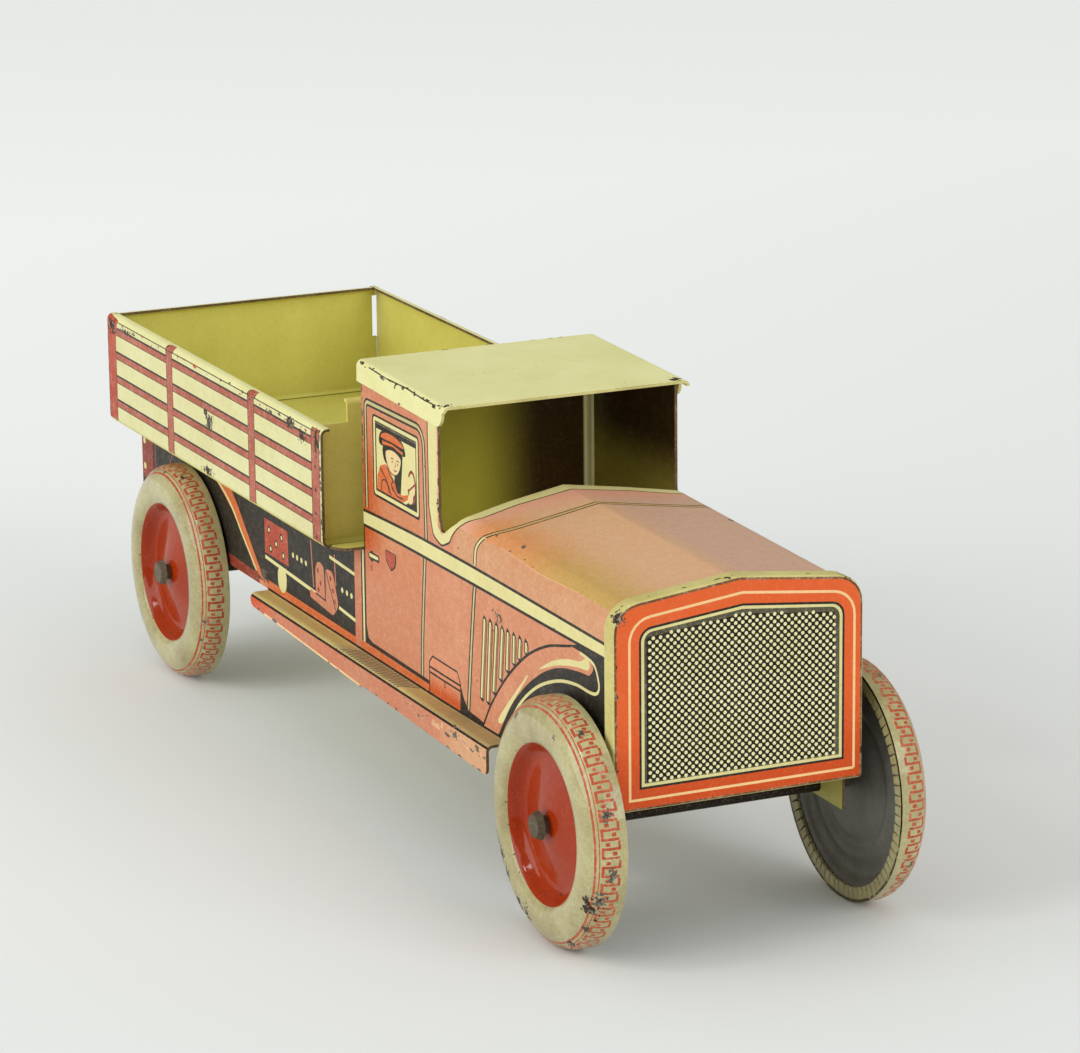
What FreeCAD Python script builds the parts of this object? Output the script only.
# Lithographed tinplate toy truck with an open load bed: one folded body sheet, a pressed radiator
# pan, a folded roof, a drop-side bed and four two-piece pressed wheels on fixed wire axles.
# Millimetres, +X forward, +Y to the driver's left, +Z up. The pieces are drawn with the rear axle
# at x = 0 and the body's middle plane at y = 0, then moved so that the origin lies under the middle
# of the whole toy.

import FreeCAD, Part
import math
import os

Vector = FreeCAD.Vector

# Stock
sheet = 0.4
bend = 0.55
tight_bend = 0.35
overrun = 20.0
seat_gap = 0.05

# Axles, which stand a little to the left in the body
wheelbase = 134.2
axle_radius = 1.1
axle_clearance = 0.05
axle_slide = 1.05
axle_head_radius = 1.9
axle_head_flat = 1.5
axle_head_height = 0.85

# Wheels
wheel_radius = 16.0
wheel_wall_gap = 1.6
wheel_width = 4.8
wheel_face_gap = 0.6
hub_depth = 1.5
hub_flat_radius = 8.7
hub_disc_radius = 10.6
tyre_crown_radius = 14.5
tread_outer_drop = 1.3
rim_depth = 0.5
inner_disc_radius = 15.5

# Body sheet, side view
body_half_width = 17.45
chassis_rear_x = -21.6
chassis_rear_bottom_z = 24.5
chassis_bottom_z = 20.2
rear_rise_x = -11.0
bed_floor_z = 34.7
cab_rear_x = 66.6
cab_front_x = 92.4
cab_top_rear_z = 60.9
roof_fall = 0.6
cab_wall_gap = 0.4
notch_top_z = 45.2
notch_bottom_z = 43.45
notch_foot_reach = 0.7
notch_foot_length = 1.0
notch_top_round = 2.0
notch_round = 0.6
scuttle_corner_reach = 4.6
scuttle_corner_z = 46.0
scuttle_ridge_reach = 1.2
scuttle_round = 0.6

# Lugs that carry the axles
lug_reach = 7.0
lug_slope = 2.2
lug_drop = 1.6
lug_round = 1.0

# Radiator pan
radiator_overhang = 10.6
radiator_depth = 2.5
radiator_edge_bevel = 0.4
radiator_gap = 0.2
radiator_tab_half_width = 1.1
radiator_tab_reach = 1.3

# Hood section
hood_joint_x = 98.0
hood_front_gap = 0.1
hood_shoulder_z = 46.0
hood_ridge_z = 48.0
hood_narrowing = 0.75
hood_front_drop = 0.7
hood_shoulder_bend = 2.8
ridge_bend = 2.0

# Running boards
board_rear_x = 30.6
board_front_reach = 20.8
board_width = 3.0
board_z = 20.2
board_leg = 1.3
lip_rear_drop = 1.8
lip_lobe_drop = 3.25
lip_front_drop = 4.0
lip_lobe_length = 41.0
lip_step = 0.35
lip_step_length = 1.2
lip_rear_round = 1.2
lip_front_round = 0.8

# Roof
roof_rear_overhang = 0.4
roof_front_overhang = 2.9
roof_flange_overhang = 1.6
roof_flange = 3.0
roof_flange_round = 1.4
roof_bend = 0.5

# Cab back wall
back_wall_gap_x = 0.6
back_wall_slit = 1.15
back_wall_curl = 1.6

# Load bed
bed_rear_x = -21.9
bed_front_x = 63.5
bed_ledge_x = 66.3
bed_ledge_round = 2.4
bed_side_overhang = 4.85
bed_top_z = 51.4
bed_hem = 1.4
bed_bend = 0.6
corner_slit_width = 0.7
corner_slit_top = 1.5
corner_slit_bottom = 8.0
bulkhead_x = 60.2
bulkhead_flange = 4.0
bulkhead_corner = 2.0
bulkhead_top_z = 51.2
headboard_inset = 0.55
headboard_rise = 3.1
headboard_hem = 1.1

# Places worked out from the sizes above
axle_z = wheel_radius
lug_bottom_z = axle_z - lug_drop
wheel_inner_y = body_half_width + wheel_wall_gap
wheel_face_y = wheel_inner_y + wheel_width
axle_half_length = wheel_face_y + wheel_face_gap
radiator_front_x = wheelbase + radiator_overhang
hood_front_x = radiator_front_x - sheet - hood_front_gap
radiator_bottom_z = chassis_bottom_z - sheet - radiator_gap
board_front_x = wheelbase - board_front_reach
bed_half_width = body_half_width + bed_side_overhang
headboard_half_width = body_half_width - headboard_inset
middle_x = (wheelbase + wheel_radius + bed_rear_x) / 2
middle_y = axle_slide


def side(x, z):
    """A point of the side view."""
    return Vector(x, 0, z)


def across(y, z):
    """A point of the view from the front."""
    return Vector(0, y, z)


def plan(x, y):
    """A point of the view from above."""
    return Vector(x, y, 0)


def half_section(radius, y):
    """A point of a turned piece's half section."""
    return Vector(radius, y, 0)


def corner_arc(before, corner, after, radius):
    """Tangent points and middle of the arc that rounds a corner."""
    if radius <= 0:
        return corner, None, corner
    ax, ay = before[0] - corner[0], before[1] - corner[1]
    bx, by = after[0] - corner[0], after[1] - corner[1]
    a_length, b_length = math.hypot(ax, ay), math.hypot(bx, by)
    ax, ay, bx, by = ax / a_length, ay / a_length, bx / b_length, by / b_length
    half = math.acos(max(-1.0, min(1.0, ax * bx + ay * by))) / 2
    reach = radius / math.tan(half)
    mx, my = ax + bx, ay + by
    m_length = math.hypot(mx, my)
    depth = radius / math.sin(half) - radius
    start = (corner[0] + ax * reach, corner[1] + ay * reach)
    end = (corner[0] + bx * reach, corner[1] + by * reach)
    middle = (corner[0] + mx / m_length * depth, corner[1] + my / m_length * depth)
    return start, middle, end


def outline(corners, place):
    """A closed outline of corners (u, v, radius), each rounded with its radius or left sharp at 0."""
    points = [(u, v) for u, v, radius in corners]
    count = len(points)
    arcs = []
    for i in range(count):
        arcs.append(corner_arc(points[i - 1], points[i], points[(i + 1) % count], corners[i][2]))
    edges = []
    for i in range(count):
        start, middle, end = arcs[i]
        if middle is not None:
            edges.append(Part.Arc(place(*start), place(*middle), place(*end)).toShape())
        following = arcs[(i + 1) % count][0]
        if math.dist(end, following) > 1e-6:
            edges.append(Part.LineSegment(place(*end), place(*following)).toShape())
    return Part.Wire(Part.__sortEdges__(edges))


def shifted(a, b, distance):
    """The run from a to b, moved sideways to its left by a distance."""
    length = math.dist(a, b)
    nx, ny = -(b[1] - a[1]) / length, (b[0] - a[0]) / length
    return (a[0] + nx * distance, a[1] + ny * distance), (b[0] + nx * distance, b[1] + ny * distance)


def meeting(a, b, c, d):
    """Where the lines ab and cd cross."""
    r = (b[0] - a[0], b[1] - a[1])
    s = (d[0] - c[0], d[1] - c[1])
    t = ((c[0] - a[0]) * s[1] - (c[1] - a[1]) * s[0]) / (r[0] * s[1] - r[1] * s[0])
    return (a[0] + r[0] * t, a[1] + r[1] * t)


def offset_path(points, distance):
    """An open path moved sideways to its left by a distance."""
    runs = [shifted(points[i], points[i + 1], distance) for i in range(len(points) - 1)]
    moved = [runs[0][0]]
    for i in range(len(runs) - 1):
        moved.append(meeting(runs[i][0], runs[i][1], runs[i + 1][0], runs[i + 1][1]))
    moved.append(runs[-1][1])
    return moved


def turns_left(before, corner, after):
    """Whether a path turns to its left at a corner."""
    ax, ay = corner[0] - before[0], corner[1] - before[1]
    bx, by = after[0] - corner[0], after[1] - corner[1]
    return ax * by - ay * bx > 0


def sheet_outline(points, radii, place):
    """Closed outline of a bent sheet: the path is its right-hand skin, radii are its inner bends."""
    right = []
    left = []
    inner = offset_path(points, sheet)
    for i, (u, v) in enumerate(points):
        bent = 0 < i < len(points) - 1
        radius = radii[i - 1] if bent else 0.0
        outer = radius + sheet if bent else 0.0
        if bent and turns_left(points[i - 1], points[i], points[i + 1]):
            radius, outer = outer, radius
        right.append((u, v, radius))
        left.append((inner[i][0], inner[i][1], outer))
    return outline(right + left[::-1], place)


def prism(wire, direction):
    """A solid drawn out of a closed outline."""
    return Part.Face(wire).extrude(direction)


def mirrored(shape):
    """The shape on the other side of the middle plane."""
    return shape.mirror(Vector(0, 0, 0), Vector(0, 1, 0))


def moved_x(wire, x):
    """A copy of the outline at another station."""
    copy = wire.copy()
    copy.translate(Vector(x, 0, 0))
    return copy


def through(corners):
    """A cutter across the whole toy from corners of the side view."""
    wire = outline(corners, side)
    wire.translate(Vector(0, -2 * overrun, 0))
    return prism(wire, Vector(0, 4 * overrun, 0))


def roof_plane_z(x):
    """Underside of the roof, which falls a little to the front."""
    return cab_top_rear_z - roof_fall * (x - cab_rear_x) / (cab_front_x - cab_rear_x)


def hood_section(x):
    """Closed band of the channel at a station, a little narrower and lower towards the front."""
    forward_share = (x - cab_front_x) / (hood_front_x - cab_front_x)
    half = body_half_width - hood_narrowing * forward_share
    drop = hood_front_drop * forward_share
    foot_z = lug_bottom_z - sheet
    path = [(half, foot_z), (half, hood_shoulder_z - drop), (0.0, hood_ridge_z - drop),
            (-half, hood_shoulder_z - drop), (-half, foot_z)]
    radii = [hood_shoulder_bend, ridge_bend, hood_shoulder_bend]
    return moved_x(sheet_outline(path, radii, across), x)


def body_side():
    """Cutter with the side view of the folded body: lugs, notch of the cab's doorway and scuttle."""
    leg_z = board_z + board_leg - sheet
    notch_foot_x = cab_front_x + notch_foot_reach
    scuttle_ridge_x = cab_front_x + scuttle_ridge_reach
    corners = [
        (chassis_rear_x, chassis_rear_bottom_z, 0), (chassis_rear_x, bed_floor_z, 0),
        (cab_rear_x, bed_floor_z, 0), (cab_rear_x, roof_plane_z(cab_rear_x) - cab_wall_gap, 0),
        (cab_front_x, roof_plane_z(cab_front_x) - cab_wall_gap, 0),
        (cab_front_x, notch_top_z, notch_top_round), (notch_foot_x, notch_bottom_z, notch_round),
        (notch_foot_x + notch_foot_length, notch_bottom_z, notch_round),
        (cab_front_x + scuttle_corner_reach, scuttle_corner_z, scuttle_round),
        (scuttle_ridge_x, hood_ridge_z, 0), (scuttle_ridge_x, cab_top_rear_z, 0),
        (hood_front_x, cab_top_rear_z, 0), (hood_front_x, chassis_bottom_z, 0),
        (wheelbase + lug_reach, chassis_bottom_z, 0), (wheelbase + lug_reach, lug_bottom_z, 0),
        (wheelbase - lug_reach, lug_bottom_z, lug_round),
        (wheelbase - lug_reach - lug_slope, chassis_bottom_z, 0),
        (board_front_x, chassis_bottom_z, 0), (board_front_x, leg_z, 0),
        (board_rear_x, leg_z, 0), (board_rear_x, chassis_bottom_z, 0),
        (lug_reach + lug_slope, chassis_bottom_z, 0), (lug_reach, lug_bottom_z, lug_round),
        (-lug_reach, lug_bottom_z, lug_round), (rear_rise_x, chassis_rear_bottom_z, 0),
    ]
    return through(corners)


def running_board():
    """Board folded out of the right wall, its lip turned down with a stepped lower edge."""
    wall = -body_half_width
    edge = wall - board_width
    path = [(wall, board_z + board_leg), (wall, board_z), (edge, board_z), (edge, board_z - lip_front_drop)]
    wire = sheet_outline(path, [bend] * 2, across)
    board = prism(moved_x(wire, board_rear_x), Vector(board_front_x - board_rear_x, 0, 0))
    lobe_x = board_rear_x + lip_lobe_length
    lobe_z = board_z - lip_lobe_drop
    above = board_z + overrun
    lip = [
        (board_rear_x, above, 0), (board_rear_x, board_z - lip_rear_drop, lip_rear_round),
        (lobe_x, lobe_z, 0), (lobe_x + lip_step_length, lobe_z + lip_step, 0),
        (board_front_x, board_z - lip_front_drop, lip_front_round), (board_front_x, above, 0),
    ]
    return board.common(through(lip))


def axle_hole(x):
    """Hole across the body for an axle."""
    radius = axle_radius + axle_clearance
    reach = body_half_width + overrun
    return Part.makeCylinder(radius, 2 * reach, Vector(x, -reach, axle_z), Vector(0, 1, 0))


def body_shell():
    """Right wall, hood and left wall folded from one sheet, with running boards and axle lugs."""
    foot_z = lug_bottom_z - sheet
    wall = Part.makeBox(cab_front_x + sheet - chassis_rear_x, sheet, cab_top_rear_z + sheet - foot_z,
                        Vector(chassis_rear_x, -body_half_width, foot_z))
    stations = [hood_section(x) for x in (cab_front_x, hood_joint_x, hood_front_x)]
    scuttle = Part.makeLoft(stations[:2], True, True)
    hood = Part.makeLoft(stations[1:], True, True)
    channel = hood.fuse([scuttle, wall, mirrored(wall)])
    body = channel.common(body_side())
    board = running_board()
    body = body.fuse([board, mirrored(board)])
    body = body.cut([axle_hole(0), axle_hole(wheelbase)])
    return body.removeSplitter()


def radiator_section(inset, x, bottom_inset):
    """Outline of the radiator pan at a station, drawn in by an inset."""
    margin = radiator_gap + sheet - inset
    half = body_half_width - hood_narrowing + margin
    shoulder_z = hood_shoulder_z - hood_front_drop + margin
    ridge_z = hood_ridge_z - hood_front_drop + margin
    corner = hood_shoulder_bend + sheet + margin
    foot_z = radiator_bottom_z + bottom_inset
    corners = [
        (half, foot_z, 0), (half, shoulder_z, corner), (0.0, ridge_z, 0), (-half, shoulder_z, corner),
        (-half, foot_z, 0),
    ]
    return moved_x(outline(corners, across), x)


def radiator():
    """Shallow pressed pan that caps the hood: a gabled panel, a flange all round and a small tab."""
    block = prism(radiator_section(0.0, radiator_front_x, 0.0), Vector(-radiator_depth, 0, 0))
    front_edges = [e for e in block.Edges
                   if abs(e.BoundBox.XMin - radiator_front_x) < 1e-6 and e.BoundBox.XLength < 1e-6]
    block = block.makeChamfer(radiator_edge_bevel, front_edges)
    hollow = prism(radiator_section(sheet, radiator_front_x - sheet, sheet),
                   Vector(-radiator_depth - overrun, 0, 0))
    tab = Part.makeBox(2 * radiator_tab_reach, 2 * radiator_tab_half_width, sheet,
                       Vector(radiator_front_x - radiator_depth - radiator_tab_reach,
                              -radiator_tab_half_width, hood_ridge_z - hood_front_drop + radiator_gap))
    return block.cut(hollow).fuse(tab).removeSplitter()


def cab_roof():
    """Flat roof with a flange folded down over each cab side, leaning a little to the front."""
    half = body_half_width + seat_gap + sheet
    top = cab_top_rear_z + sheet
    foot = top - roof_flange
    rear_x = cab_rear_x - roof_rear_overhang
    front_x = cab_front_x + roof_front_overhang
    flange_x = cab_front_x + roof_flange_overhang
    path = [(half, foot), (half, top), (-half, top), (-half, foot)]
    wire = moved_x(sheet_outline(path, [roof_bend] * 2, across), rear_x)
    roof = prism(wire, Vector(front_x - rear_x, 0, 0))
    visor_z = top - 2 * sheet
    keep = [
        (rear_x - overrun, foot - overrun, 0), (rear_x - overrun, top + overrun, 0),
        (front_x + overrun, top + overrun, 0), (front_x + overrun, visor_z, 0),
        (flange_x, visor_z, 0), (flange_x, foot, roof_flange_round),
        (flange_x - 2 * roof_flange_round, foot - sheet, 0),
        (flange_x - 2 * roof_flange_round, foot - overrun, 0),
    ]
    roof = roof.common(through(keep))
    fall = math.degrees(math.atan2(roof_fall, cab_front_x - cab_rear_x))
    roof.rotate(Vector(cab_rear_x, 0, cab_top_rear_z), Vector(0, 1, 0), fall)
    return roof


def cab_back_wall():
    """Back of the cab, standing off the left wall by a slit, its free edge curled forward."""
    x = cab_rear_x + back_wall_gap_x
    near = -body_half_width + sheet
    far = body_half_width - sheet - back_wall_slit
    path = [(x, near), (x, far), (x + back_wall_curl, far)]
    wire = sheet_outline(path, [bend], plan)
    top = roof_plane_z(x + back_wall_curl) - seat_gap
    wire.translate(Vector(0, 0, bed_floor_z))
    return prism(wire, Vector(0, 0, top - bed_floor_z))


def bed_ledge():
    """Floor of the bed carried forward to the cab, its free corners rounded."""
    half = bed_half_width - bed_bend - sheet
    corners = [
        (bed_front_x - sheet, -half, 0), (bed_ledge_x, -half, bed_ledge_round),
        (bed_ledge_x, half, bed_ledge_round), (bed_front_x - sheet, half, 0),
    ]
    wire = outline(corners, plan)
    wire.translate(Vector(0, 0, bed_floor_z))
    return prism(wire, Vector(0, 0, sheet))


def bed_tray():
    """Floor, sides and tailgate folded from one sheet, their top edges turned in."""
    half = bed_half_width
    top = bed_top_z
    path = [(-half + bed_hem, top), (-half, top), (-half, bed_floor_z), (half, bed_floor_z),
            (half, top), (half - bed_hem, top)]
    wire = sheet_outline(path, [bed_bend] * 4, across)
    tray = prism(moved_x(wire, bed_rear_x), Vector(bed_front_x - bed_rear_x, 0, 0))
    gate_path = [(bed_rear_x + bed_hem, top), (bed_rear_x, top), (bed_rear_x, bed_floor_z),
                 (bed_rear_x + bed_hem, bed_floor_z)]
    gate_wire = sheet_outline(gate_path, [bed_bend] * 2, side)
    gate_wire.translate(Vector(0, -half + bed_bend, 0))
    gate = prism(gate_wire, Vector(0, 2 * (half - bed_bend), 0))
    slit = Part.makeBox(corner_slit_width + sheet, corner_slit_width, corner_slit_bottom - corner_slit_top,
                        Vector(bed_rear_x - sheet / 2, half - bed_bend - corner_slit_width,
                               top - corner_slit_bottom))
    tray = tray.fuse([gate, bed_ledge()]).cut([slit, mirrored(slit)])
    return tray.removeSplitter()


def bed_bulkhead():
    """Front wall of the bed: side flanges turned back, raised headboard with its top folded back."""
    half = bed_half_width - sheet - seat_gap
    x = bulkhead_x
    foot = bed_floor_z + sheet
    path = [(x - bulkhead_flange, -half), (x, -half), (x, half), (x - bulkhead_flange, half)]
    wire = sheet_outline(path, [bulkhead_corner] * 2, plan)
    wire.translate(Vector(0, 0, foot))
    wall = prism(wire, Vector(0, 0, bulkhead_top_z - foot))
    top = bulkhead_top_z + headboard_rise
    board_path = [(x, bulkhead_top_z - headboard_rise), (x, top), (x - headboard_hem, top)]
    board_wire = sheet_outline(board_path, [tight_bend], side)
    board_wire.translate(Vector(0, -headboard_half_width, 0))
    board = prism(board_wire, Vector(0, 2 * headboard_half_width, 0))
    depth = bulkhead_flange + bulkhead_corner
    relief = Part.makeBox(2 * depth, bed_bend + sheet, bed_bend,
                          Vector(x - depth, half - bed_bend, foot))
    hem_y = bed_half_width - bed_hem - seat_gap
    hem_z = bed_top_z - sheet - bed_bend - seat_gap
    under_hem = Part.makeBox(2 * depth, bed_hem, overrun, Vector(x - depth, hem_y, hem_z))
    reliefs = [relief, mirrored(relief), under_hem, mirrored(under_hem)]
    return wall.fuse(board).cut(reliefs).removeSplitter()


def turned(corners):
    """A piece turned about the axle from the corners of its half section."""
    return Part.Face(outline(corners, half_section)).revolve(Vector(0, 0, 0), Vector(0, 1, 0), 360)


def on_axle(shape, x):
    """A copy of a piece drawn about the axle's middle, placed on the axle at x."""
    copy = shape.copy()
    copy.translate(Vector(x, axle_slide, axle_z))
    return copy


def axle():
    """Wire axle with a peened head at each end."""
    shank = axle_half_length - axle_head_height
    wire = Part.makeCylinder(axle_radius, 2 * shank, Vector(0, -shank, 0), Vector(0, 1, 0))
    head = turned([
        (0.0, shank, 0), (axle_head_radius, shank, 0), (axle_head_flat, axle_half_length, 0),
        (0.0, axle_half_length, 0),
    ])
    return wire.fuse([head, mirrored(head)]).removeSplitter()


def wheel_shell():
    """Outer pressing on the left side: dished hub, tyre wall, shoulder and tread."""
    bore = axle_radius + axle_clearance
    hub_y = wheel_face_y - hub_depth
    skin = [
        (bore, hub_y, 0), (hub_flat_radius, hub_y, 0), (hub_disc_radius, wheel_face_y, 0),
        (tyre_crown_radius, wheel_face_y, 0), (wheel_radius, wheel_face_y - tread_outer_drop, 0),
        (wheel_radius, wheel_inner_y, 0),
    ]
    inside = [
        (inner_disc_radius + seat_gap, wheel_inner_y, 0), (inner_disc_radius + seat_gap, hub_y - sheet, 0),
        (bore, hub_y - sheet, 0),
    ]
    return turned(skin + inside)


def wheel_disc():
    """Inner disc on the left side, held inside the rim."""
    bore = axle_radius + axle_clearance
    face = wheel_inner_y + rim_depth
    return turned([
        (bore, face, 0), (inner_disc_radius, face, 0), (inner_disc_radius, face + sheet, 0),
        (bore, face + sheet, 0),
    ])


def all_pieces():
    """Every sub-part by the name of its file."""
    pieces = {
        "body_shell": body_shell(),
        "radiator": radiator(),
        "cab_roof": cab_roof(),
        "cab_back_wall": cab_back_wall(),
        "bed_tray": bed_tray(),
        "bed_bulkhead": bed_bulkhead(),
    }
    shell = wheel_shell()
    disc = wheel_disc()
    for end, x in (("front", wheelbase), ("rear", 0)):
        pieces[end + "_axle"] = on_axle(axle(), x)
        pieces["wheel_" + end + "_left_shell"] = on_axle(shell, x)
        pieces["wheel_" + end + "_left_disc"] = on_axle(disc, x)
        pieces["wheel_" + end + "_right_shell"] = on_axle(mirrored(shell), x)
        pieces["wheel_" + end + "_right_disc"] = on_axle(mirrored(disc), x)
    return pieces


def export_all():
    """Write each sub-part with the origin under the middle of the toy."""
    os.makedirs("parts", exist_ok=True)
    for name, shape in all_pieces().items():
        shape.translate(Vector(-middle_x, -middle_y, 0))
        box = shape.optimalBoundingBox()
        print(name, "solids", len(shape.Solids), "valid", shape.isValid(), "volume", round(shape.Volume, 2),
              "x", round(box.XMin, 2), round(box.XMax, 2), "y", round(box.YMin, 2), round(box.YMax, 2),
              "z", round(box.ZMin, 2), round(box.ZMax, 2))
        shape.exportStep("parts/" + name + ".step")


export_all()
